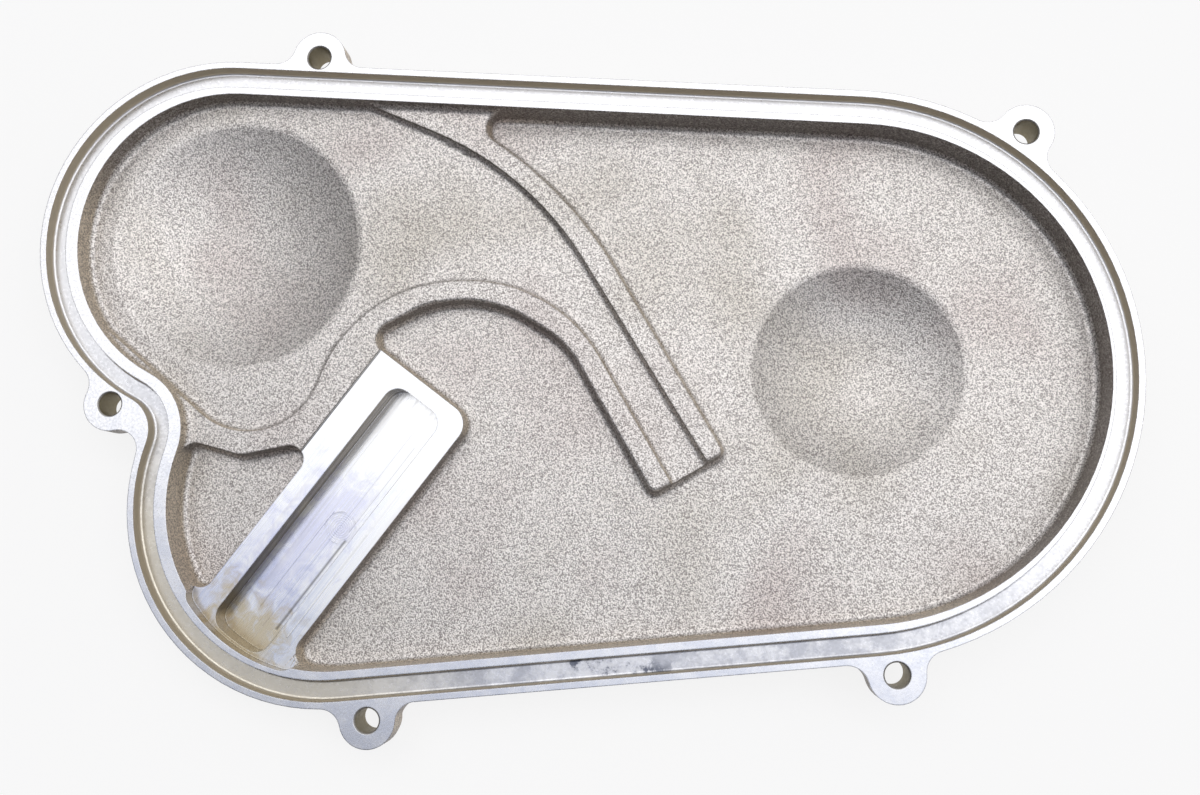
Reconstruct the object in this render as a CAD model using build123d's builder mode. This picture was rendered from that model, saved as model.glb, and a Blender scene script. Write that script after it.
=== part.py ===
"""Chain case cover: one aluminium casting, lying with its gasket face up.

Sizes in mm. The origin is on the big sprocket's axis, in the gasket face.
X runs from the small sprocket to the big one, and Z points out of the case.
"""
import os
from math import acos, atan2, cos, hypot, sin

from build123d import *

# Levels, measured down from the gasket face
groove_depth = 4.0
rib_top_depth = 4.0
pad_depth = 4.6
trough_depth = 7.0
floor_depth = 10.8
pocket_depth = 12.0
flange_thickness = 8.0
lug_thickness = 12.0
cover_wall = 4.2

# Round lobes that the seal groove's outer edge wraps around: x, y, radius
big_lobe = (-4.3, -1.7, 82.1)
small_lobe = (-197.3, -0.75, 55.0)
low_lobe = (-146.5, -71.8, 57.6)
neck = (-202.0, -56.0)
neck_radius = 11.0

# Rim section, from outside to inside
lip_width = 1.95
groove_width = 6.15
land_width = 2.4
groove_foot_radius = 1.0
core_shift = (1.4, 0.45)

# Outer side: the shell stands back under the flange
flange_step = 3.0
flange_root_radius = 1.5
shell_edge_radius = 5.0

# Screw lugs: the lobe that each one grows from, its angle round that lobe, and how far
# its centre stands outside the groove's outer edge
lugs = [
    (big_lobe, 64.48, 6.1),
    (big_lobe, -70.1, 5.75),
    (low_lobe, -64.39, 6.72),
    (small_lobe, -110.21, 4.62),
    (small_lobe, 75.18, 9.5),
]
lug_radius = 8.2
lug_boss_radius = 7.6
lug_hole_radius = 3.5
lug_blend_radius = 6.0
lug_root_length = 15.0
hole_edge_break = 0.4

# Domes over the sprocket nuts
big_dome = (0.0, 0.0)
big_dome_radius = 32.0
big_dome_depth = 8.0
big_dome_blend = 4.0
small_dome = (-194.6, 0.0)
small_dome_margin = 16.0
small_dome_depth = 8.0
small_dome_blend = 4.0
dome_root_radius = 8.0

# Cast surfaces
draft_angle = 3.0
corner_radius = 5.0
foot_radius = 2.0
rib_edge_radius = 1.0

# Chain trough between two ribs, drawn by the corners of each rib's edges. The inside
# edges run on past the ribs' ends, where the floor outside is deeper anyway.
outer_rib_inside = [(-185.0, 55.7), (-109.2, 40.2), (-13.0, -62.9)]
outer_rib_inside_radii = [104.0]
outer_rib_outside = [(-150.0, 59.5), (-95.1, 35.1), (-34.2, -32.6)]
outer_rib_outside_radii = [127.0]
inner_rib_inside = [
    (-23.0, -72.6),
    (-94.8, 8.6),
    (-153.7, -6.0),
    (-162.0, -69.6),
    (-230.0, -32.9),
]
inner_rib_inside_radii = [46.2, 43.3, 22.8]
inner_rib_outside = [(-52.0, -48.6), (-86.8, -9.4), (-120.1, 2.2), (-148.2, -20.4)]
inner_rib_outside_radii = [29.7, 37.4]
rib_end_radius = 2.0

# Three-cornered pocket in the neck, between the inner rib and the milled pad
neck_pocket_top = [(-205.0, -61.2), (-176.0, -63.0)]
neck_pocket_dip_radius = 9.6
neck_pocket_right = 18.0
neck_pocket_tip = 12.8
neck_pocket_radius = 4.5

# Milled pad for the chain tensioner, in its own turned axes
pad_centre = (-141.0, -72.0)
pad_angle = 64.6
pad_top = 43.5
pad_right = -14.0
pad_corner_radius = 6.0
milled_left = 21.5
milled_right = -18.0
milled_top = 48.0
milled_past_wall = 1.45
cutter_radius = 4.8
pocket_left = 11.5
pocket_right = -7.5
pocket_top = 38.6
pocket_past_wall = 0.45

# Longer than any part of the pad, and wider than the whole cover
pad_reach = 60.0
beyond = 400.0

# How far an edge may lie from a level to be taken as being on it
level_tolerance = 0.01

# Height by which the balls that make the domes are cut above or inside the metal
cap_overlap = 1.0


def tangent_points(first, second, side):
    """Ends of the straight that touches two lobes, on the left (1) or the right (-1)."""
    ax, ay, a_radius = first
    bx, by, b_radius = second
    turn = acos((a_radius - b_radius) / hypot(bx - ax, by - ay))
    angle = atan2(by - ay, bx - ax) + side * turn
    direction = Vector(cos(angle), sin(angle))
    return Vector(ax, ay) + direction * a_radius, Vector(bx, by) + direction * b_radius


def lug_centre(lobe, angle, standoff):
    """A lug's centre, out from its lobe's centre."""
    return Vector(*lobe[:2]) + Vector(lobe[2] + standoff, 0).rotate(Axis.Z, angle)


def grown(outline, amount):
    """An outline moved outwards, or inwards where the amount is negative."""
    with BuildSketch() as result:
        add(outline)
        offset(amount=amount, mode=Mode.REPLACE)
    return result.sketch


def rounded(outline, radius):
    """An outline with its outward corners rounded, or its inward ones for a negative radius."""
    return grown(grown(outline, -radius), radius)


def drafted(outline, depth, foot_radius):
    """A block down from the gasket face, with drafted sides and a rounded lower edge."""
    with BuildPart() as block:
        with BuildSketch():
            add(outline)
        extrude(amount=depth, taper=draft_angle)
        if block.part.center().Z > 0:
            mirror(about=Plane.XY, mode=Mode.REPLACE)
        fillet(block.edges().group_by(Axis.Z)[0], foot_radius)
    return block.part


def ball_radius(rim_radius, depth):
    """Radius of the ball whose cap has this rim and this depth."""
    return (rim_radius**2 + depth**2) / (2 * depth)


def cap(centre, radius, centre_height, cut_level):
    """The part of a ball that lies below a level."""
    with BuildPart() as ball:
        with Locations((*centre, centre_height)):
            Sphere(radius)
        split(bisect_by=Plane.XY.offset(cut_level), keep=Keep.BOTTOM)
    return ball.part


def edges_at(builder, level):
    """All edges that lie level at one height."""
    return builder.edges().filter_by_position(Axis.Z, level - level_tolerance, level + level_tolerance)


def ring_at(builder, centre, level):
    """The round edge at one level that lies nearest to a centre."""
    x, y = tuple(centre)[:2]
    return edges_at(builder, level).sort_by_distance((x, y, level))[0]


def inside_outline(outline, edge):
    """Whether an edge lies within an outline, seen from above."""
    middle = edge.position_at(0.5)
    return outline.face().is_inside(Vector(middle.X, middle.Y, 0))


def along_pad(u, v):
    """A point given along (u) and across (v) the turned pad."""
    return Vector(*pad_centre) + Vector(u, v).rotate(Axis.Z, pad_angle)


# Outline of the seal groove's outer edge
top_straight = tangent_points(big_lobe, small_lobe, -1)
bottom_straight = tangent_points(big_lobe, low_lobe, 1)
with BuildSketch() as seal_line:
    for x, y, radius in (big_lobe, small_lobe, low_lobe):
        with Locations((x, y)):
            Circle(radius)
    with BuildLine():
        Polyline(*top_straight, small_lobe[:2], low_lobe[:2], *reversed(bottom_straight), close=True)
    make_face()
    fillet(seal_line.vertices().sort_by_distance(neck)[0], neck_radius)

# Flange face with its five lugs
with BuildSketch() as flange:
    add(grown(seal_line.sketch, lip_width))
    for lug in lugs:
        with Locations(lug_centre(*lug)):
            Circle(lug_radius)

# Edge of the hollow inside: the core sat a little off the groove
with BuildSketch() as cavity:
    with Locations(core_shift):
        add(grown(seal_line.sketch, -groove_width - land_width))

# Deep floor: all of the cavity outside the ribs, the trough and the pad
with BuildSketch() as deep_floor:
    with BuildLine():
        ribs = FilletPolyline(
            *outer_rib_outside,
            *inner_rib_outside,
            along_pad(pad_top, pad_right),
            along_pad(-pad_reach, pad_right),
            radius=[
                *outer_rib_outside_radii,
                rib_end_radius,
                rib_end_radius,
                *inner_rib_outside_radii,
                0,
                pad_corner_radius,
            ],
        )
        Polyline(ribs @ 1, (0, -beyond), (beyond, -beyond), (beyond, beyond), (0, beyond), ribs @ 0)
    make_face()
    add(cavity.sketch, mode=Mode.INTERSECT)

# Trough: the small lobe's recess and the channel between the ribs
with BuildSketch() as trough:
    with BuildLine():
        outer_rib = FilletPolyline(*outer_rib_inside, radius=outer_rib_inside_radii)
        inner_rib = FilletPolyline(*inner_rib_inside, radius=inner_rib_inside_radii)
        Line(outer_rib @ 1, inner_rib @ 0)
        Polyline(inner_rib @ 1, (-beyond, 0), outer_rib @ 0)
    make_face()
    add(cavity.sketch, mode=Mode.INTERSECT)

with BuildSketch() as neck_pocket:
    with BuildLine():
        pocket_edge = FilletPolyline(
            *neck_pocket_top,
            along_pad(neck_pocket_tip, neck_pocket_right),
            along_pad(-pad_reach, neck_pocket_right),
            radius=[neck_pocket_dip_radius, 0],
        )
        Polyline(pocket_edge @ 1, (-beyond, -beyond), pocket_edge @ 0)
    make_face()
    add(cavity.sketch, mode=Mode.INTERSECT)

# The groove, with both corners of its floor rounded
with BuildPart() as groove:
    with BuildSketch():
        add(seal_line.sketch)
        add(grown(seal_line.sketch, -groove_width), mode=Mode.SUBTRACT)
    extrude(amount=-groove_depth)
    fillet(groove.edges().group_by(Axis.Z)[0], groove_foot_radius)

# Milled area around the pad, as far as the cutter ran into the rim
with BuildSketch() as milled:
    with Locations(Location(pad_centre, pad_angle)):
        with Locations(((milled_top - pad_reach) / 2, (milled_left + milled_right) / 2)):
            Rectangle(milled_top + pad_reach, milled_left - milled_right)
    add(grown(cavity.sketch, milled_past_wall), mode=Mode.INTERSECT)

with BuildSketch() as pad_pocket:
    with Locations(Location(pad_centre, pad_angle)):
        with Locations(((pocket_top - pad_reach) / 2, (pocket_left + pocket_right) / 2)):
            Rectangle(pocket_top + pad_reach, pocket_left - pocket_right)
    add(grown(cavity.sketch, pocket_past_wall), mode=Mode.INTERSECT)

# The domes are caps of balls, the same wall apart inside and outside
small_dome_radius = small_lobe[2] - small_dome_margin
big_ball = ball_radius(big_dome_radius, big_dome_depth)
small_ball = ball_radius(small_dome_radius, small_dome_depth)
big_ball_height = big_ball - big_dome_depth - floor_depth
small_ball_height = small_ball - small_dome_depth - trough_depth
face_depth = floor_depth + cover_wall

# The part of the cavity that the rounded foot of its wall doesn't reach
clear_of_wall = grown(cavity.sketch, -2 * foot_radius)

with BuildPart() as cover:
    with BuildSketch():
        add(rounded(flange.sketch, -lug_blend_radius))
    extrude(amount=-flange_thickness)
    add(drafted(grown(seal_line.sketch, lip_width - flange_step), face_depth, shell_edge_radius))
    add(cap(big_dome, big_ball + cover_wall, big_ball_height, cap_overlap - face_depth))
    add(cap(small_dome, small_ball + cover_wall, small_ball_height, cap_overlap - face_depth))
    for dome in (big_dome, small_dome):
        fillet(ring_at(cover, dome, -face_depth), dome_root_radius)
    flange_back = edges_at(cover, -flange_thickness)
    fillet([edge for edge in flange_back if inside_outline(seal_line.sketch, edge)], flange_root_radius)

    for lobe, angle, standoff in lugs:
        with BuildSketch():
            middle = lug_centre(lobe, angle, standoff - lug_root_length / 2)
            SlotCenterPoint(middle, lug_centre(lobe, angle, standoff), 2 * lug_boss_radius)
        extrude(amount=-lug_thickness)

    add(drafted(cavity.sketch, rib_top_depth, foot_radius), mode=Mode.SUBTRACT)
    add(drafted(rounded(deep_floor.sketch, corner_radius), floor_depth, foot_radius), mode=Mode.SUBTRACT)
    rib_tops = edges_at(cover, -rib_top_depth)
    fillet([edge for edge in rib_tops if inside_outline(clear_of_wall, edge)], rib_edge_radius)
    add(drafted(rounded(trough.sketch, corner_radius), trough_depth, foot_radius), mode=Mode.SUBTRACT)
    add(drafted(rounded(neck_pocket.sketch, neck_pocket_radius), floor_depth, foot_radius), mode=Mode.SUBTRACT)
    add(cap(big_dome, big_ball, big_ball_height, cap_overlap - floor_depth), mode=Mode.SUBTRACT)
    add(cap(small_dome, small_ball, small_ball_height, cap_overlap - trough_depth), mode=Mode.SUBTRACT)
    add(groove.part, mode=Mode.SUBTRACT)

    with BuildSketch():
        add(rounded(milled.sketch, cutter_radius))
    extrude(amount=-pad_depth, mode=Mode.SUBTRACT)
    with BuildSketch():
        add(rounded(pad_pocket.sketch, cutter_radius))
    extrude(amount=-pocket_depth, mode=Mode.SUBTRACT)

    fillet(ring_at(cover, big_dome, -floor_depth), big_dome_blend)
    fillet(ring_at(cover, small_dome, -trough_depth), small_dome_blend)

    with Locations(*[lug_centre(*lug) for lug in lugs]):
        Hole(lug_hole_radius)
    for lug in lugs:
        for face in (0, -lug_thickness):
            chamfer(ring_at(cover, lug_centre(*lug), face), hole_edge_break)

cover.part.label = "chain_case_cover"
os.makedirs("parts", exist_ok=True)
export_step(cover.part, "parts/chain_case_cover.step")
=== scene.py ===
# Chain case cover, one bare aluminium casting lying inside up on a pale table.
# Everything is in metres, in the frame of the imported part, except where a dictionary says mm.
import math

import bpy
import numpy as np
from mathutils import Matrix

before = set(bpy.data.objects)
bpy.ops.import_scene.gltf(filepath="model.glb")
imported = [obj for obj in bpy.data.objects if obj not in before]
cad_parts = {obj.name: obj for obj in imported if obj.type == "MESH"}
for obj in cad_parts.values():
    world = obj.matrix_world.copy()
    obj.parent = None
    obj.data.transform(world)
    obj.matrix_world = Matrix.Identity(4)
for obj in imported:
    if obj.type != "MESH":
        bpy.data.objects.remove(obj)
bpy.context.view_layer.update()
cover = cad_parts["chain_case_cover"]
mm = 0.001   # m
print("stage: frame loaded")


def hexColour(text):
    # sRGB hex to the linear colour that the shader sockets take
    values = [int(text[i:i + 2], 16) / 255 for i in (1, 3, 5)]
    return [v / 12.92 if v <= 0.04045 else ((v + 0.055) / 1.055) ** 2.4 for v in values] + [1.0]


def addNode(tree, kind, settings=None, links=None):
    # one node with its settings (sockets or properties) and its incoming links
    node = tree.nodes.new(kind)
    for name, value in (settings or {}).items():
        if isinstance(name, int) or name in node.inputs:
            node.inputs[name].default_value = value
        else:
            setattr(node, name, value)
    for name, source in (links or {}).items():
        tree.links.new(source, node.inputs[name])
    return node


def newMaterial(name):
    material = bpy.data.materials.new(name)
    material.use_nodes = True
    material.node_tree.nodes.clear()
    return material, material.node_tree


def finishMaterial(tree, settings, links):
    shader = addNode(tree, "ShaderNodeBsdfPrincipled", settings, links)
    addNode(tree, "ShaderNodeOutputMaterial", links={"Surface": shader.outputs["BSDF"]})


# sizes of the casting in mm and degrees, by which its surfaces are told apart
sizes = {
    # lobes of the rim: centre x, centre y, and radius at the seal groove's outer edge
    "bigLobe": (-4.3, -1.7, 82.1),
    "smallLobe": (-197.3, -0.75, 55.0),
    "lowLobe": (-146.5, -71.8, 57.6),
    "neckRadius": 11.0,     # the hollow corner between the two small lobes
    "neckReach": 30.0,      # how far inwards that corner counts
    "grooveWidth": 6.15,
    "grooveDepth": 4.1,
    "grooveSlack": 0.1,     # how far outside the groove its walls may lie
    "faceSlack": 0.05,      # how far under the gasket face's level its faces may lie
    "lugs": [(33.7, 77.9), (25.6, -84.3), (-118.7, -129.8), (-217.9, -56.7), (-180.8, 61.6)],
    "holeReach": 4.0,       # from a lug's centre
    "holeTop": -0.02,
    "padCentre": (-141.0, -72.0),
    "padAngle": 64.6,
    "padFromRim": 6.45,     # how far inwards the pad's own cuts begin
    # the pad's cuts: lowest and highest along it (u), across it (v) and up, and how far inwards they go on
    "padCuts": [
        (-99.0, 48.1, -14.6, 21.6, -4.7, -4.4, 99.0),     # top
        (-52.0, 38.7, -7.6, 11.6, -12.1, -4.6, 99.0),     # pocket
        (-99.0, 48.1, -18.1, 21.6, -4.65, -0.05, 9.55),   # cut at the rim's foot
        (-99.0, 48.1, 21.0, 21.6, -4.65, -4.05, 99.0),    # skimmed strip's step
    ],
}


def lobeDistance(x, y, centreX, centreY, radius):
    # a circle's radius less the distance to its centre
    return radius - np.hypot(x - centreX, y - centreY)


def taperDistance(x, y, one, two):
    # The same for the nearest of the circles that change evenly from lobe one to lobe two. Its share of the
    # way is the foot of the square to the line between their centres, less the distance to that line times
    # the taper's sine over its cosine.
    dx, dy = two[0] - one[0], two[1] - one[1]
    span = math.hypot(dx, dy)
    sine = (one[2] - two[2]) / span
    along = ((x - one[0]) * dx + (y - one[1]) * dy) / span
    across = np.abs((x - one[0]) * dy - (y - one[1]) * dx) / span
    share = np.clip((along - across * sine / math.sqrt(1 - sine * sine)) / span, 0, 1)
    return lobeDistance(x, y, one[0] + dx * share, one[1] + dy * share, one[2] + (two[2] - one[2]) * share)


def edgeDistance(x, y):
    # Distance inwards from the seal groove's outer edge: the largest of the distances into the lobes and the
    # tapers, and in the neck the distance from its own arc, whose centre is its radius away from both lobes.
    big, small, low = sizes["bigLobe"], sizes["smallLobe"], sizes["lowLobe"]
    inward = np.maximum.reduce([lobeDistance(x, y, *small), lobeDistance(x, y, *low),
                                taperDistance(x, y, big, small), taperDistance(x, y, big, low)])
    fromSmall, fromLow = small[2] + sizes["neckRadius"], low[2] + sizes["neckRadius"]
    dx, dy = low[0] - small[0], low[1] - small[1]
    span = math.hypot(dx, dy)
    along = (fromSmall ** 2 - fromLow ** 2 + span ** 2) / (2 * span)
    aside = math.sqrt(fromSmall ** 2 - along ** 2)
    neckX = small[0] + (along * dx + aside * dy) / span
    neckY = small[1] + (along * dy - aside * dx) / span
    fromNeck = -lobeDistance(x, y, neckX, neckY, sizes["neckRadius"])
    smallSide = (x - neckX) * (small[1] - neckY) - (y - neckY) * (small[0] - neckX)
    lowSide = (x - neckX) * (low[1] - neckY) - (y - neckY) * (low[0] - neckX)
    inNeck = (smallSide > 0) & (lowSide < 0) & (fromNeck < sizes["neckReach"])
    return np.where(inNeck, fromNeck, inward)


def padAxes(x, y):
    # position along (u) and across (v) the turned pad
    turn = math.radians(sizes["padAngle"])
    dx, dy = x - sizes["padCentre"][0], y - sizes["padCentre"][1]
    return dx * math.cos(turn) + dy * math.sin(turn), dy * math.cos(turn) - dx * math.sin(turn)


def sortFaces():
    # Each face's finish, told by where its centre lies:
    # 0 cast, 1 milled gasket face, 2 groove, 3 milled pad, 4 drilled hole
    mesh = cover.data
    count = len(mesh.polygons)
    centre = np.empty(count * 3, np.float32)
    mesh.polygons.foreach_get("center", centre)
    x, y, z = centre.reshape(-1, 3).T * 1000
    inward = edgeDistance(x, y)
    u, v = padAxes(x, y)
    finish = np.zeros(count, np.int32)
    onFace = z > -sizes["faceSlack"]
    finish[onFace] = 1
    inGroove = (inward > -sizes["grooveSlack"]) & (inward < sizes["grooveWidth"] + sizes["grooveSlack"])
    finish[inGroove & ~onFace & (z > -sizes["grooveDepth"])] = 2
    for lowU, highU, lowV, highV, lowZ, highZ, most in sizes["padCuts"]:
        inCut = (u > lowU) & (u < highU) & (v > lowV) & (v < highV) & (z > lowZ) & (z < highZ)
        finish[inCut & (inward > sizes["padFromRim"]) & (inward < most)] = 3
    for lugX, lugY in sizes["lugs"]:
        finish[(np.hypot(x - lugX, y - lugY) < sizes["holeReach"]) & (z < sizes["holeTop"])] = 4
    return finish


def zone(tree, place, box, wander=None):
    # 1 inside a box, fading to 0 over its soft edge. The box is in mm: lowest and highest on the first axis,
    # the same on the second, and the soft edge's width. A noise moves the edge by up to twice its width.
    lowU, highU, lowV, highV, soft = (value * mm for value in box)
    middle = addNode(tree, "ShaderNodeVectorMath",
                     {"operation": "SUBTRACT", 1: ((lowU + highU) / 2, (lowV + highV) / 2, 0)}, {0: place})
    folded = addNode(tree, "ShaderNodeVectorMath", {"operation": "ABSOLUTE"}, {0: middle.outputs[0]})
    outside = addNode(tree, "ShaderNodeVectorMath",
                      {"operation": "SUBTRACT", 1: ((highU - lowU) / 2, (highV - lowV) / 2, 0)},
                      {0: folded.outputs[0]})
    parts = addNode(tree, "ShaderNodeSeparateXYZ", links={0: outside.outputs[0]})
    far = addNode(tree, "ShaderNodeMath", {"operation": "MAXIMUM"},
                  {0: parts.outputs["X"], 1: parts.outputs["Y"]})
    if wander:
        centred = addNode(tree, "ShaderNodeMath", {"operation": "SUBTRACT", 1: 0.5}, {0: wander})
        far = addNode(tree, "ShaderNodeMath", {"operation": "MULTIPLY_ADD", 1: 4 * soft},
                      {0: centred.outputs[0], 2: far.outputs[0]})
    return addNode(tree, "ShaderNodeMapRange", {"From Min": soft, "From Max": 0.0},
                   {"Value": far.outputs[0]}).outputs[0]


# Cast aluminium: sand cast and bead blasted, a matt warm grey that sparkles in fine grains. The steep walls
# kept their dull casting skin, which looks nearly black where it faces away from the light; their colour is
# darkened partly for that skin and partly as painted shade, and the walls that face the far side, towards the
# lamps and the pale room, are painted a pale tan as a painted highlight. Here and below a height is the
# noise's, from 0 to 1, and a slope is the upward part of the normal, 1 on a level face and 0 on an upright
# one.
castLook = {
    "light": "#fcf7f3",
    "dark": "#9f9996",
    "metallic": 0.85,
    "roughness": 0.42,
    "grain": 0.2,                # mm, the sand's grain, drawn as coarse as it needs to show
    "clump": 0.42,               # mm, clumps of grains
    "clumpShare": 0.25,
    "turn": (0.6, 0.4, 0.2),     # radians, as the noise is weak in level planes at whole numbers of its cells
    "darkBelow": 0.43,           # heights of the grains
    "lightAbove": 0.55,
    "bumpHeight": 0.2,           # mm
    "edge": 0.7,                 # mm, worn rib edges
    "patch": 60.0,               # mm, broad clouds: hue, and the heights where they begin and are full
    "clouds": [("#c9b6b6", 0.48, 0.3), ("#bdb8a4", 0.52, 0.7)],   # rosy and olive
    "cloudShare": 0.35,
    # painted shade and highlight: the walls' colour is part casting skin, part painted shade; walls facing the
    # lamps are painted a paler tan
    "wall": "#aaa39c",
    "paintedLitWall": "#eee4d2",
    "wallMetallic": 0.15,
    "paintedLitWay": (0.5, 0.85, 0.0),  # the way towards the lamps and the pale room, whose walls get the painted highlight
    "paintedLitFrom": 0.1,              # how much a wall faces that way where its painted highlight begins and is full
    "paintedLitTo": 0.5,
    "ragged": 1.8,               # how much the grains' height adds to the slope
    "paintedLitLower": 0.4,             # what a wall facing the lamps takes off it, so that its pale painted highlight begins higher up
    "skinAndShadeFrom": 1.4,             # the slope so changed where the skin and painted shade begin and are full
    "skinAndShadeTo": 1.0,
}


def castAluminium():
    look = castLook
    material, tree = newMaterial("castAluminium")
    place = addNode(tree, "ShaderNodeTexCoord").outputs["Object"]
    turned = addNode(tree, "ShaderNodeMapping", {"Rotation": look["turn"]}, {"Vector": place}).outputs[0]
    fine = addNode(tree, "ShaderNodeTexNoise",
                   {"Scale": 1 / (2 * look["grain"] * mm), "Detail": 2.0, "Roughness": 0.6},
                   {"Vector": turned})
    coarse = addNode(tree, "ShaderNodeTexNoise", {"Scale": 1 / (2 * look["clump"] * mm), "Detail": 1.0},
                     {"Vector": turned})
    clumps = addNode(tree, "ShaderNodeMath", {"operation": "MULTIPLY", 1: look["clumpShare"]},
                     {0: coarse.outputs["Fac"]})
    grains = addNode(tree, "ShaderNodeMath", {"operation": "MULTIPLY_ADD", 1: 1 - look["clumpShare"]},
                     {0: fine.outputs["Fac"], 2: clumps.outputs[0]}).outputs[0]
    tone = addNode(tree, "ShaderNodeMapRange",
                   {"From Min": look["darkBelow"], "From Max": look["lightAbove"]}, {"Value": grains})
    skin = addNode(tree, "ShaderNodeMixRGB",
                   {"Color1": hexColour(look["dark"]), "Color2": hexColour(look["light"])},
                   {"Fac": tone.outputs[0]})
    patch = addNode(tree, "ShaderNodeTexNoise", {"Scale": 1 / (look["patch"] * mm), "Detail": 2.0},
                    {"Vector": place})
    for hue, begin, full in look["clouds"]:
        cloud = addNode(tree, "ShaderNodeMapRange",
                        {"From Min": begin, "From Max": full, "To Max": look["cloudShare"]},
                        {"Value": patch.outputs["Fac"]})
        skin = addNode(tree, "ShaderNodeMixRGB", {"blend_type": "MULTIPLY", "Color2": hexColour(hue)},
                       {"Fac": cloud.outputs[0], "Color1": skin.outputs[0]})
    # the walls' skin and painted shade begin raggedly, grain by grain, and higher up on walls facing the lamps
    facing = addNode(tree, "ShaderNodeNewGeometry").outputs["Normal"]
    upward = addNode(tree, "ShaderNodeSeparateXYZ", links={0: facing}).outputs["Z"]
    slope = addNode(tree, "ShaderNodeMath", {"operation": "ABSOLUTE"}, {0: upward})
    ragged = addNode(tree, "ShaderNodeMath", {"operation": "MULTIPLY_ADD", 1: look["ragged"]},
                     {0: grains, 2: slope.outputs[0]})
    facingLamps = addNode(tree, "ShaderNodeVectorMath", {"operation": "DOT_PRODUCT", 1: look["paintedLitWay"]}, {0: facing})
    far = addNode(tree, "ShaderNodeMapRange", {"From Min": look["paintedLitFrom"], "From Max": look["paintedLitTo"]},
                  {"Value": facingLamps.outputs["Value"]}).outputs[0]
    lowered = addNode(tree, "ShaderNodeMath", {"operation": "MULTIPLY_ADD", 1: -look["paintedLitLower"]},
                      {0: far, 2: ragged.outputs[0]})
    steep = addNode(tree, "ShaderNodeMapRange", {"From Min": look["skinAndShadeFrom"], "From Max": look["skinAndShadeTo"]},
                    {"Value": lowered.outputs[0]}).outputs[0]
    # painted highlight on the walls that face the lamps, painted shade on the others
    wall = addNode(tree, "ShaderNodeMixRGB",
                   {"Color1": hexColour(look["wall"]), "Color2": hexColour(look["paintedLitWall"])}, {"Fac": far})
    colour = addNode(tree, "ShaderNodeMixRGB", {"blend_type": "MULTIPLY"},
                     {"Fac": steep, "Color1": skin.outputs[0], "Color2": wall.outputs[0]})
    metal = addNode(tree, "ShaderNodeMapRange", {"To Min": look["metallic"], "To Max": look["wallMetallic"]},
                    {"Value": steep})
    edge = addNode(tree, "ShaderNodeBevel", {"samples": 4, "Radius": look["edge"] * mm})
    bump = addNode(tree, "ShaderNodeBump", {"Strength": 1.0, "Distance": look["bumpHeight"] * mm},
                   {"Height": grains, "Normal": edge.outputs[0]})
    finishMaterial(tree, {"Roughness": look["roughness"]},
                   {"Base Color": colour.outputs[0], "Metallic": metal.outputs[0], "Normal": bump.outputs[0]})
    return material


# Milled aluminium: cut with a face mill, bright, with faint tool marks. Pale blue-grey blots grow in towards
# the low side, and corrosion left a golden tone at the low left and dark torn scabs on one stretch of the
# groove. Steep walls carry a tan coat, and the edges are broken by a hair, along which thin dark lines are
# drawn as painted shade.
milledLook = {
    "face": "#e9e9ec",
    "mark": 0.7,                 # mm between tool marks, coarser than the real ones so that they show
    "smoothBelow": 0.35,         # heights of the marks
    "roughAbove": 0.7,
    "smoother": 0.06,            # how far their roughness is under and over the finish's own
    "rougher": 0.1,
    "bumpHeight": 0.015,         # mm
    "patch": 7.0,                # mm, one blot or scab
    "blotFrom": 0.4,             # heights where the blots begin and are full
    "blotTo": 0.58,
    "blotLeast": 0.1,            # shares there
    "blotMost": 0.6,
    "lowBlotsFrom": -35.0,           # mm, the blots fade in from this y down
    "lowBlotsTo": -85.0,
    "gold": "#d9d1bf",
    "goldFrom": (-85.0, -55.0),  # mm, it turns golden left of this x and below this y
    "goldTo": (-135.0, -90.0),
    "scab": "#565b6a",
    "scabFrom": 0.5,             # heights where they begin and are full
    "scabTo": 0.56,
    "scabZone": (-66.0, -38.0, -103.0, -97.0, 4.0),   # mm in x and y
    "wallFrom": 0.92,            # slopes where a wall's coat begins and is full
    "wallTo": 0.5,
    "wallRougher": 0.25,
    # painted shade: the dark line drawn along the broken edges
    "line": "#77706a",
    "edgeShadeFrom": 0.97,            # slopes of the broken edge where its line of painted shade begins and is full
    "edgeShadeTo": 0.85,
}
# What differs between the gasket face, the groove, which lay under the seal, and the drilled holes: the hue of
# the blots, the shares of gold, scabs and painted edge-shade lines, the walls' coat, and the edge break in mm
milledFinishes = {
    "faceMilledAluminium": {"roughness": 0.24, "lowBlots": "#c9cdd9", "gold": 0.1, "scab": 0.0,
                            "wall": "#cfc3ad", "wallMetallic": 0.15, "edge": 0.4, "line": 0.25},
    "grooveMilledAluminium": {"roughness": 0.33, "lowBlots": "#9497a4", "gold": 0.8, "scab": 0.85,
                              "wall": "#cfc3ad", "wallMetallic": 0.15, "edge": 0.2, "line": 0.0},
    "drilledAluminium": {"roughness": 0.24, "lowBlots": "#c9cdd9", "gold": 0.1, "scab": 0.0,
                         "wall": "#978c70", "wallMetallic": 0.5, "edge": 0.4, "line": 0.25},
}


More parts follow.
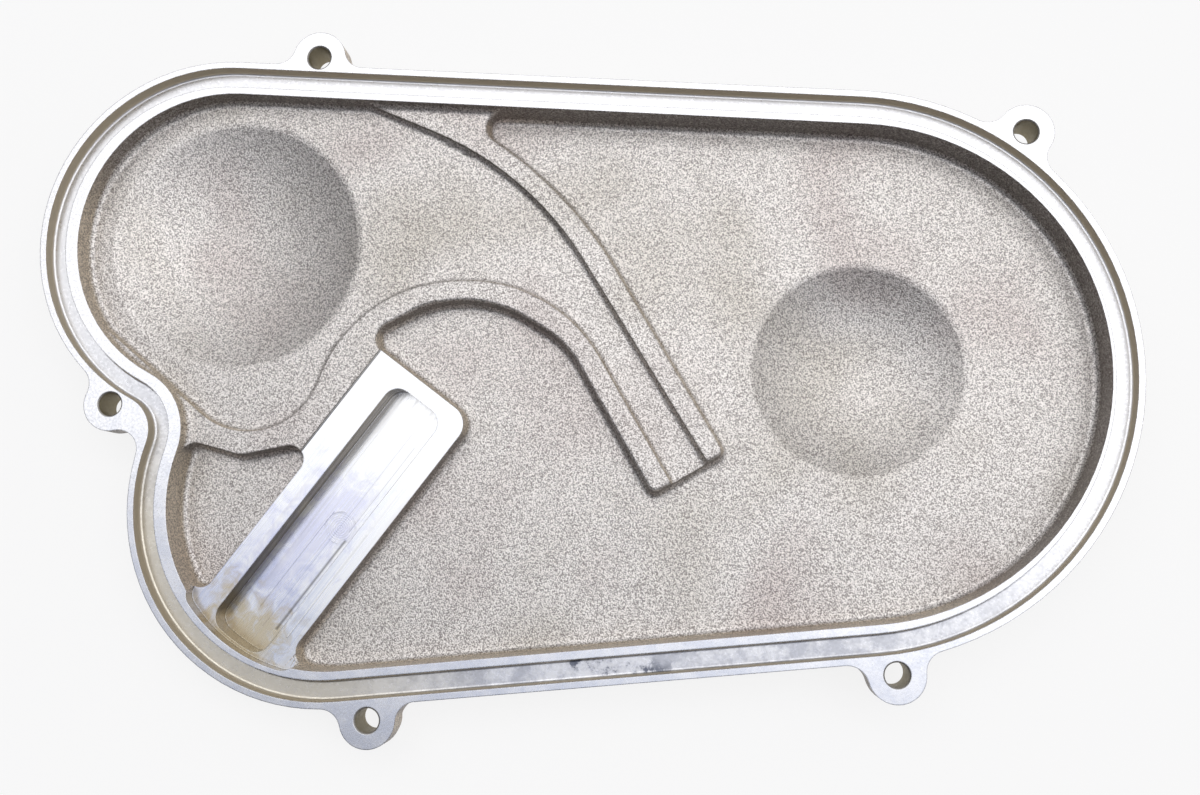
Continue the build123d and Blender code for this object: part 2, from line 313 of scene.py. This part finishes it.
def milledAluminium(name):
    look, own = milledLook, milledFinishes[name]
    material, tree = newMaterial(name)
    place = addNode(tree, "ShaderNodeTexCoord").outputs["Object"]
    across = addNode(tree, "ShaderNodeSeparateXYZ", links={0: place}).outputs
    marks = addNode(tree, "ShaderNodeTexNoise", {"Scale": 1 / (look["mark"] * mm), "Detail": 3.0},
                    {"Vector": place}).outputs["Fac"]
    patch = addNode(tree, "ShaderNodeTexNoise",
                    {"Scale": 1 / (look["patch"] * mm), "Detail": 5.0, "Roughness": 0.7},
                    {"Vector": place}).outputs["Fac"]
    # blots that grow towards the low side, stains of gold at the low left, torn scabs
    blots = addNode(tree, "ShaderNodeMapRange",
                    {"From Min": look["blotFrom"], "From Max": look["blotTo"],
                     "To Min": look["blotLeast"], "To Max": look["blotMost"]}, {"Value": patch})
    low = addNode(tree, "ShaderNodeMapRange",
                  {"From Min": look["lowBlotsFrom"] * mm, "From Max": look["lowBlotsTo"] * mm},
                  {"Value": across["Y"]})
    lowBlots = addNode(tree, "ShaderNodeMath", {"operation": "MULTIPLY"},
                   {0: blots.outputs[0], 1: low.outputs[0]})
    leftward, downward = (
        addNode(tree, "ShaderNodeMapRange", {"From Min": begin * mm, "From Max": full * mm, "To Max": share},
                {"Value": across[axis]})
        for axis, begin, full, share in zip("XY", look["goldFrom"], look["goldTo"], (own["gold"], 1.0)))
    golden = addNode(tree, "ShaderNodeMath", {"operation": "MULTIPLY"},
                     {0: leftward.outputs[0], 1: downward.outputs[0]})
    torn = addNode(tree, "ShaderNodeMapRange",
                   {"From Min": look["scabFrom"], "From Max": look["scabTo"], "To Max": own["scab"]},
                   {"Value": patch})
    scabs = addNode(tree, "ShaderNodeMath", {"operation": "MULTIPLY"},
                    {0: zone(tree, place, look["scabZone"], patch), 1: torn.outputs[0]})
    # steep walls, and thin lines of painted shade along the sharp edges of level faces
    normal = addNode(tree, "ShaderNodeSeparateXYZ",
                     links={0: addNode(tree, "ShaderNodeNewGeometry").outputs["Normal"]})
    steep = addNode(tree, "ShaderNodeMapRange", {"From Min": look["wallFrom"], "From Max": look["wallTo"]},
                    {"Value": normal.outputs["Z"]})
    edge = addNode(tree, "ShaderNodeBevel", {"samples": 4, "Radius": own["edge"] * mm})
    leaning = addNode(tree, "ShaderNodeSeparateXYZ", links={0: edge.outputs[0]})
    # painted shade: darkens where the bevelled normal leans, a thin line along each sharp edge
    paintedEdgeShade = addNode(tree, "ShaderNodeMapRange",
                    {"From Min": look["edgeShadeFrom"], "From Max": look["edgeShadeTo"], "To Max": own["line"]},
                    {"Value": leaning.outputs["Z"]})
    level = addNode(tree, "ShaderNodeMath", {"operation": "SUBTRACT", 0: 1.0}, {1: steep.outputs[0]})
    line = addNode(tree, "ShaderNodeMath", {"operation": "MULTIPLY"},
                   {0: paintedEdgeShade.outputs[0], 1: level.outputs[0]})
    colour = addNode(tree, "ShaderNodeMixRGB",
                     {"Color1": hexColour(look["face"]), "Color2": hexColour(own["lowBlots"])},
                     {"Fac": lowBlots.outputs[0]})
    for hue, share in ((look["gold"], golden), (look["scab"], scabs), (own["wall"], steep),
                       (look["line"], line)):
        colour = addNode(tree, "ShaderNodeMixRGB", {"Color2": hexColour(hue)},
                         {"Fac": share.outputs[0], "Color1": colour.outputs[0]})
    metal = addNode(tree, "ShaderNodeMapRange", {"To Min": 1.0, "To Max": own["wallMetallic"]},
                    {"Value": steep.outputs[0]})
    base = addNode(tree, "ShaderNodeMapRange",
                   {"From Min": look["smoothBelow"], "From Max": look["roughAbove"],
                    "To Min": own["roughness"] - look["smoother"],
                    "To Max": own["roughness"] + look["rougher"]}, {"Value": marks})
    rough = addNode(tree, "ShaderNodeMath", {"operation": "MULTIPLY_ADD", 1: look["wallRougher"]},
                    {0: steep.outputs[0], 2: base.outputs[0]})
    bump = addNode(tree, "ShaderNodeBump", {"Strength": 0.5, "Distance": look["bumpHeight"] * mm},
                   {"Height": marks, "Normal": edge.outputs[0]})
    finishMaterial(tree, {}, {"Base Color": colour.outputs[0], "Metallic": metal.outputs[0],
                              "Roughness": rough.outputs[0], "Normal": bump.outputs[0]})
    return material


# End-milled aluminium: the pad is cut lengthwise in its own turned axes, so it streaks, with lavender and
# blue stains towards the rim, tan ones at the rim's foot, scored lines, and the round mark where the cutter
# went in.
padLook = {
    "face": "#eeeeef",
    "roughness": 0.25,
    "smoother": 0.07,       # how far the streaks' roughness is under and over that
    "rougher": 0.12,
    "smoothBelow": 0.3,     # heights of the streaks
    "roughAbove": 0.7,
    "streak": 0.5,          # mm, width of one streak
    "stretch": 45.0,        # how much longer a streak is than wide
    "streakHue": "#a6b0c8",
    "streakShare": 0.3,
    "streakFull": 0.34,     # heights where that hue is full and ends
    "streakEnd": 0.54,
    "pass": 3.2,            # mm, width of one pass of the cutter
    "bumpHeight": 0.08,     # mm
    "edge": 0.4,            # mm, edge break
    "stain": 5.0,           # mm, one blot
    # stains: hue, share, and the zone along and across the pad
    "stains": [
        ("#b9bbdb", 0.45, (-34.0, 2.0, 1.0, 8.0, 9.0)),         # lavender, on the pocket's floor
        ("#a6b0c8", 0.25, (-60.0, -38.0, -14.0, 20.0, 14.0)),   # blue, towards the rim
        ("#b9bbdb", 0.2, (-60.0, -18.0, 12.5, 20.0, 12.0)),     # lavender, beside the pocket
        ("#c6b690", 0.75, (-60.0, -44.0, -5.0, 9.0, 8.0)),      # tan, at the rim's foot
    ],
    "line": "#3a3630",
    "ridge": "#ffffff",
    # scored lines and raised ridges: lowest u, highest u, v and half width in mm, share, kind
    "scores": [
        (-42.0, -9.0, -4.7, 0.6, 0.7, "line"),
        (-44.0, -8.0, -6.5, 0.8, 0.9, "ridge"),
        (-40.0, -4.0, 3.6, 0.15, 0.4, "line"),
        (-6.0, 26.0, -4.0, 0.15, 0.35, "line"),
        (-44.0, 30.0, -0.8, 0.12, 0.3, "line"),
        (-42.0, 46.0, 21.2, 0.2, 0.9, "line"),
        (-40.0, -2.0, -10.5, 0.2, 0.9, "ridge"),
    ],
    "plunge": (-6.5, -1.0, -12.0),   # mm, the middle of the cutter's round mark, on the pocket's floor
    "ringRadius": 4.8,
    "ringHalf": 0.3,                 # mm, half its width
    "ringShare": 0.3,
    "ringBump": 0.7,
    "brokenFrom": 0.42,              # heights of the blots where the ring begins and is full
    "brokenTo": 0.56,
    "arcWaves": 9000.0,              # radians per metre, which is one arc every 0.7 mm
    "arcShare": 0.12,
    "arcFade": 0.5,                  # mm inwards of the ring
    "wall": "#8b7f6a",
    "wallFrom": 0.92,                # slopes where a wall's coat begins and is full
    "wallTo": 0.4,
}


def milledPad():
    look = padLook
    material, tree = newMaterial("endMilledAluminium")
    centre = [value * mm for value in sizes["padCentre"]] + [0]
    place = addNode(tree, "ShaderNodeMapping",
                    {"vector_type": "TEXTURE", "Location": centre,
                     "Rotation": (0, 0, math.radians(sizes["padAngle"]))},
                    {"Vector": addNode(tree, "ShaderNodeTexCoord").outputs["Object"]}).outputs[0]
    drawn = addNode(tree, "ShaderNodeMapping", {"Scale": (1 / look["stretch"], 1, 1)},
                    {"Vector": place}).outputs[0]
    streaks = addNode(tree, "ShaderNodeTexNoise", {"Scale": 1 / (2 * look["streak"] * mm), "Detail": 2.0},
                      {"Vector": drawn}).outputs["Fac"]
    cuts = addNode(tree, "ShaderNodeTexNoise", {"Scale": 1 / (2 * look["pass"] * mm), "Detail": 2.0},
                   {"Vector": drawn}).outputs["Fac"]
    blots = addNode(tree, "ShaderNodeTexNoise",
                    {"Scale": 1 / (look["stain"] * mm), "Detail": 6.0, "Roughness": 0.65, "Distortion": 0.8},
                    {"Vector": place}).outputs["Fac"]
    tinge = addNode(tree, "ShaderNodeMapRange",
                    {"From Min": look["streakFull"], "From Max": look["streakEnd"],
                     "To Min": look["streakShare"], "To Max": 0.0}, {"Value": streaks})
    colour = addNode(tree, "ShaderNodeMixRGB",
                     {"Color1": hexColour(look["face"]), "Color2": hexColour(look["streakHue"])},
                     {"Fac": tinge.outputs[0]})
    for hue, most, box in look["stains"]:
        share = addNode(tree, "ShaderNodeMath", {"operation": "MULTIPLY", 1: most},
                        {0: zone(tree, place, box, blots)})
        colour = addNode(tree, "ShaderNodeMixRGB", {"Color2": hexColour(hue)},
                         {"Fac": share.outputs[0], "Color1": colour.outputs[0]})
    # a scored line is dark and lies lower, a ridge is white and stands higher
    for lowU, highU, v, half, most, kind in look["scores"]:
        share = addNode(tree, "ShaderNodeMath", {"operation": "MULTIPLY", 1: most},
                        {0: zone(tree, place, (lowU, highU, v, v, half))})
        colour = addNode(tree, "ShaderNodeMixRGB", {"Color2": hexColour(look[kind])},
                         {"Fac": share.outputs[0], "Color1": colour.outputs[0]})
        cuts = addNode(tree, "ShaderNodeMath", {"operation": "SUBTRACT" if kind == "line" else "ADD"},
                       {0: cuts, 1: share.outputs[0]}).outputs[0]
    # the cutter's round mark: a broken ring, and arcs inside it, a sine of the distance to its middle
    plunge = [value * mm for value in look["plunge"]]
    away = addNode(tree, "ShaderNodeVectorMath", {"operation": "DISTANCE", 1: plunge},
                   {0: place}).outputs["Value"]
    beyond = addNode(tree, "ShaderNodeMath", {"operation": "SUBTRACT", 1: look["ringRadius"] * mm}, {0: away})
    offRing = addNode(tree, "ShaderNodeMath", {"operation": "ABSOLUTE"}, {0: beyond.outputs[0]})
    whole = addNode(tree, "ShaderNodeMapRange", {"From Min": look["ringHalf"] * mm, "From Max": 0.0},
                    {"Value": offRing.outputs[0]})
    broken = addNode(tree, "ShaderNodeMapRange",
                     {"From Min": look["brokenFrom"], "From Max": look["brokenTo"]}, {"Value": blots})
    ring = addNode(tree, "ShaderNodeMath", {"operation": "MULTIPLY"},
                   {0: whole.outputs[0], 1: broken.outputs[0]}).outputs[0]
    waves = addNode(tree, "ShaderNodeMath", {"operation": "MULTIPLY", 1: look["arcWaves"]}, {0: away})
    arcs = addNode(tree, "ShaderNodeMath", {"operation": "SINE"}, {0: waves.outputs[0]})
    within = addNode(tree, "ShaderNodeMapRange",
                     {"From Min": 0.0, "From Max": -look["arcFade"] * mm, "To Max": look["arcShare"]},
                     {"Value": beyond.outputs[0]})
    swirl = addNode(tree, "ShaderNodeMath", {"operation": "MULTIPLY"},
                    {0: arcs.outputs[0], 1: within.outputs[0]}).outputs[0]
    swirled = addNode(tree, "ShaderNodeMath", {"operation": "ADD"}, {0: cuts, 1: swirl})
    height = addNode(tree, "ShaderNodeMath", {"operation": "MULTIPLY_ADD", 1: look["ringBump"]},
                     {0: ring, 2: swirled.outputs[0]})
    mark = addNode(tree, "ShaderNodeMath",
                   {"operation": "MULTIPLY_ADD", 1: look["ringShare"], "use_clamp": True},
                   {0: ring, 2: swirl})
    normal = addNode(tree, "ShaderNodeSeparateXYZ",
                     links={0: addNode(tree, "ShaderNodeNewGeometry").outputs["Normal"]})
    steep = addNode(tree, "ShaderNodeMapRange", {"From Min": look["wallFrom"], "From Max": look["wallTo"]},
                    {"Value": normal.outputs["Z"]})
    for kind, share in (("line", mark), ("wall", steep)):
        colour = addNode(tree, "ShaderNodeMixRGB", {"Color2": hexColour(look[kind])},
                         {"Fac": share.outputs[0], "Color1": colour.outputs[0]})
    rough = addNode(tree, "ShaderNodeMapRange",
                    {"From Min": look["smoothBelow"], "From Max": look["roughAbove"],
                     "To Min": look["roughness"] - look["smoother"],
                     "To Max": look["roughness"] + look["rougher"]}, {"Value": streaks})
    edge = addNode(tree, "ShaderNodeBevel", {"samples": 4, "Radius": look["edge"] * mm})
    bump = addNode(tree, "ShaderNodeBump", {"Strength": 0.6, "Distance": look["bumpHeight"] * mm},
                   {"Height": height.outputs[0], "Normal": edge.outputs[0]})
    finishMaterial(tree, {"Metallic": 1.0}, {"Base Color": colour.outputs[0], "Roughness": rough.outputs[0],
                                             "Normal": bump.outputs[0]})
    return material


# the finishes in the order of sortFaces
cover.data.materials.clear()
for material in (castAluminium(), milledAluminium("faceMilledAluminium"),
                 milledAluminium("grooveMilledAluminium"), milledPad(), milledAluminium("drilledAluminium")):
    cover.data.materials.append(material)
cover.data.polygons.foreach_set("material_index", sortFaces())
cover.data.update()
print("stage: finishes assigned")

# white table top, tilted by the few degrees at which the cover rests on its two domes and the rim's edge
floorLook = {
    "paint": "#fbfafb",
    "roughness": 0.6,
    "glow": 0.83,   # how much of the paint the eye and the shiny metal see as plain white
    "size": 3.0,    # m
    "contacts": [(0.0, 0.0, -0.0231), (-0.1946, 0.0, -0.0193), (-0.12, -0.126, -0.0152)],   # m
}


def makeFloor():
    # A square of the plane through the three contacts. Its corners' heights are the first contact's, less
    # the way there times the plane's slope, which is its normal's sideways part over its upward part.
    first, second, third = np.array(floorLook["contacts"])
    normal = np.cross(second - first, third - first)
    corners = np.array([(-1, -1), (1, -1), (1, 1), (-1, 1)]) * floorLook["size"] / 2
    heights = first[2] - (corners - first[:2]) @ (normal[:2] / normal[2])
    mesh = bpy.data.meshes.new("floor")
    mesh.from_pydata(np.column_stack([corners, heights]).tolist(), [], [(0, 1, 2, 3)])
    floor = bpy.data.objects.new("floor", mesh)
    bpy.context.scene.collection.objects.link(floor)
    # rolled white paint, dull, whose white the eye and the shiny metal see, though it is lit no more than
    # the cover
    material, tree = newMaterial("paintedTable")
    paint = addNode(tree, "ShaderNodeBsdfPrincipled",
                    {"Base Color": hexColour(floorLook["paint"]), "Roughness": floorLook["roughness"]})
    rays = addNode(tree, "ShaderNodeLightPath").outputs
    seen = addNode(tree, "ShaderNodeMath", {"operation": "ADD"},
                   {0: rays["Is Camera Ray"], 1: rays["Is Glossy Ray"]})
    seenAll = addNode(tree, "ShaderNodeMath", {"operation": "ADD", "use_clamp": True},
                      {0: seen.outputs[0], 1: rays["Is Transmission Ray"]})
    share = addNode(tree, "ShaderNodeMath", {"operation": "MULTIPLY", 1: floorLook["glow"]},
                    {0: seenAll.outputs[0]})
    white = addNode(tree, "ShaderNodeEmission", {"Color": hexColour("#ffffff"), "Strength": 1.0})
    both = addNode(tree, "ShaderNodeMixShader",
                   links={0: share.outputs[0], 1: paint.outputs[0], 2: white.outputs[0]})
    addNode(tree, "ShaderNodeOutputMaterial", links={"Surface": both.outputs[0]})
    mesh.materials.append(material)


makeFloor()

# camera over the lower middle of the cover, tipped by under nine degrees
cameraLook = {
    "place": (-0.0376858, -0.063899, 0.348),   # m
    "right": (0.97454626, 0.21156619, -0.07415748),
    "up": (-0.20091557, 0.97097437, 0.12977559),
    "back": (0.09946114, -0.11157292, 0.98876639),
    "lens": 36.0,                              # mm, and as wide a sensor
    "nearest": 0.01,                           # m
}
camera = bpy.data.objects.new("camera", bpy.data.cameras.new("camera"))
bpy.context.scene.collection.objects.link(camera)
axes = Matrix([cameraLook[way] for way in ("right", "up", "back")]).transposed()
camera.matrix_world = Matrix.Translation(cameraLook["place"]) @ axes.to_4x4()
camera.data.lens = camera.data.sensor_width = cameraLook["lens"]
camera.data.clip_start = cameraLook["nearest"]
bpy.context.scene.camera = camera

# light: one broad soft box overhead, towards the far side, and a dim bluish one on the near side, both in m
boxes = {
    "softBox": {"low": (-1.15, -0.15), "high": (1.1, 0.9), "height": 1.2,
                "radiance": 1.2, "colour": "#ffffff"},
    "dimBox": {"low": (-1.15, -0.42), "high": (1.1, -0.15), "height": 1.2,
               "radiance": 0.77, "colour": "#dfe5f4"},
}
for name, look in boxes.items():
    low, high = np.array(look["low"]), np.array(look["high"])
    data = bpy.data.lights.new(name, "AREA")
    data.shape = "RECTANGLE"
    data.size, data.size_y = high - low
    data.energy = look["radiance"] * math.pi * data.size * data.size_y   # W, as a flat lamp needs
    data.color = hexColour(look["colour"])[:3]
    lamp = bpy.data.objects.new(name, data)
    bpy.context.scene.collection.objects.link(lamp)
    lamp.location = (*(low + high) / 2, look["height"])

# a room that is pale beyond the cover and dark on the near side
roomLook = {
    "pale": "#e8e8ea",
    "dark": "#3f4046",
    "towards": (0.45, 0.85, 0.25),   # the pale side
    "darkBelow": -0.5,               # how much a direction goes that way where the room is dark and pale
    "paleAbove": 0.85,
    "strength": 0.7,
}


def makeRoom():
    world = bpy.data.worlds.new("room")
    bpy.context.scene.world = world
    world.use_nodes = True
    tree = world.node_tree
    tree.nodes.clear()
    facing = addNode(tree, "ShaderNodeVectorMath", {"operation": "DOT_PRODUCT", 1: roomLook["towards"]},
                     {0: addNode(tree, "ShaderNodeTexCoord").outputs["Generated"]})
    pale = addNode(tree, "ShaderNodeMapRange",
                   {"From Min": roomLook["darkBelow"], "From Max": roomLook["paleAbove"]},
                   {"Value": facing.outputs["Value"]})
    tone = addNode(tree, "ShaderNodeMixRGB",
                   {"Color1": hexColour(roomLook["dark"]), "Color2": hexColour(roomLook["pale"])},
                   {"Fac": pale.outputs[0]})
    background = addNode(tree, "ShaderNodeBackground", {"Strength": roomLook["strength"]},
                         {"Color": tone.outputs[0]})
    addNode(tree, "ShaderNodeOutputWorld", links={"Surface": background.outputs[0]})


makeRoom()
bpy.context.scene.view_settings.view_transform = "Standard"
print("stage: light and camera")
